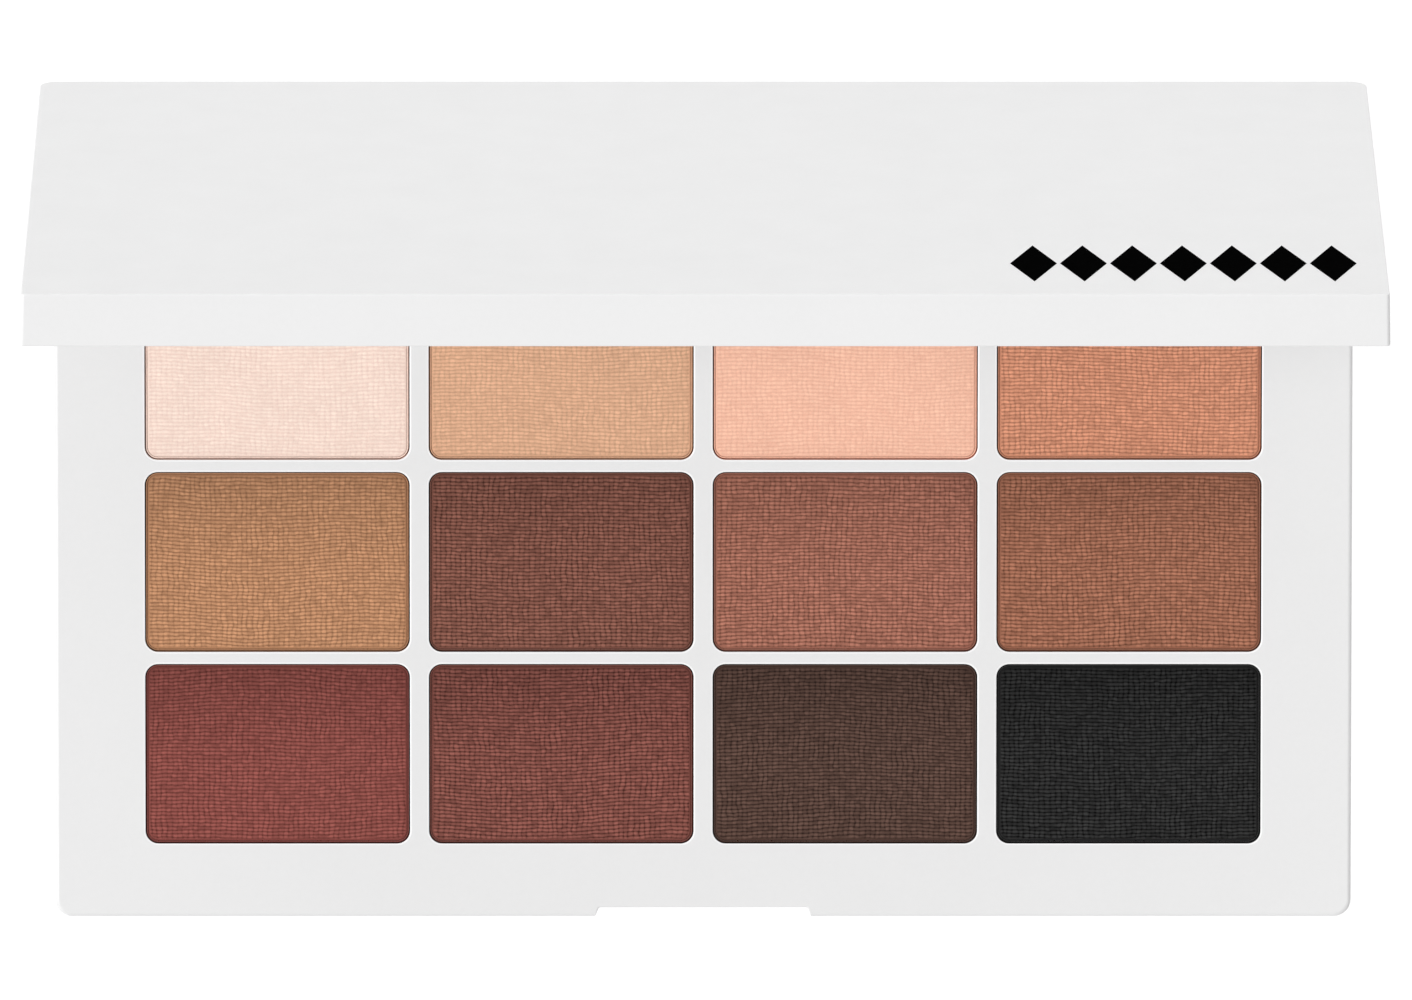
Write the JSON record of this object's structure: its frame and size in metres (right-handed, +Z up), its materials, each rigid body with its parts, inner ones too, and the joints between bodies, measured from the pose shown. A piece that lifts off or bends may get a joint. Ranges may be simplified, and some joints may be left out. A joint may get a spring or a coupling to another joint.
{
  "type": "eyeshadow palette",
  "caption": "Flat rectangular make-up palette: pressed powder pans sunk in rows into a white base, under a hinged telescoping lid with a mirror inside.",
  "frame": {"origin": "on the underside of the bottom plate, at the centre of the base", "axes": "+X to the user's right along the long side, +Y towards the hinge, +Z up; the lid stands open at rest, 82 degrees from closed"},
  "size_m": [0.153, 0.0968, 0.0978],
  "materials": {
    "white_plastic": "satin moulded plastic",
    "label_paper": "blank coated paper label",
    "pin_steel": "drawn steel wire",
    "magnet_nickel": "nickel plated",
    "mirror_silver": "silvered glass",
    "foam_tape": "foam tape",
    "pan_tin": "pressed sheet metal",
    "hot_glue": "hot melt glue",
    "powder_r1c1": "pressed powder, ivory",
    "powder_r1c2": "pressed powder, camel",
    "powder_r1c3": "pressed powder, peach",
    "powder_r1c4": "pressed powder, terracotta",
    "powder_r2c1": "pressed powder, tan",
    "powder_r2c2": "pressed powder, brick brown",
    "powder_r2c3": "pressed powder, rose brown",
    "powder_r2c4": "pressed powder, warm brown",
    "powder_r3c1": "pressed powder, russet",
    "powder_r3c2": "pressed powder, chestnut",
    "powder_r3c3": "pressed powder, dark brown",
    "powder_r3c4": "pressed powder, charcoal"
  },
  "bodies": {
    "base": {"base_housing": "white_plastic", "base_bottom_plate": "white_plastic", "base_label": "label_paper", "hinge_pin_left": "pin_steel", "hinge_pin_right": "pin_steel", "base_magnet_left": "magnet_nickel", "base_magnet_right": "magnet_nickel", "pan_r1c1": "pan_tin", "powder_r1c1": "powder_r1c1", "glue_r1c1": "hot_glue", "pan_r1c2": "pan_tin", "powder_r1c2": "powder_r1c2", "glue_r1c2": "hot_glue", "pan_r1c3": "pan_tin", "powder_r1c3": "powder_r1c3", "glue_r1c3": "hot_glue", "pan_r1c4": "pan_tin", "powder_r1c4": "powder_r1c4", "glue_r1c4": "hot_glue", "pan_r2c1": "pan_tin", "powder_r2c1": "powder_r2c1", "glue_r2c1": "hot_glue", "pan_r2c2": "pan_tin", "powder_r2c2": "powder_r2c2", "glue_r2c2": "hot_glue", "pan_r2c3": "pan_tin", "powder_r2c3": "powder_r2c3", "glue_r2c3": "hot_glue", "pan_r2c4": "pan_tin", "powder_r2c4": "powder_r2c4", "glue_r2c4": "hot_glue", "pan_r3c1": "pan_tin", "powder_r3c1": "powder_r3c1", "glue_r3c1": "hot_glue", "pan_r3c2": "pan_tin", "powder_r3c2": "powder_r3c2", "glue_r3c2": "hot_glue", "pan_r3c3": "pan_tin", "powder_r3c3": "powder_r3c3", "glue_r3c3": "hot_glue", "pan_r3c4": "pan_tin", "powder_r3c4": "powder_r3c4", "glue_r3c4": "hot_glue"},
    "lid": {"lid_shell": "white_plastic", "mirror_frame": "white_plastic", "mirror_glass": "mirror_silver", "mirror_adhesive": "foam_tape", "lid_magnet_left": "magnet_nickel", "lid_magnet_right": "magnet_nickel"}
  },
  "joints": [
    {"name": "lid_hinge", "type": "hinge", "parent": "base", "child": "lid", "pos_m": [0, 0.0445, 0.006], "axis": [-1, 0, 0], "range_deg": [-82, 38]}
  ]
}
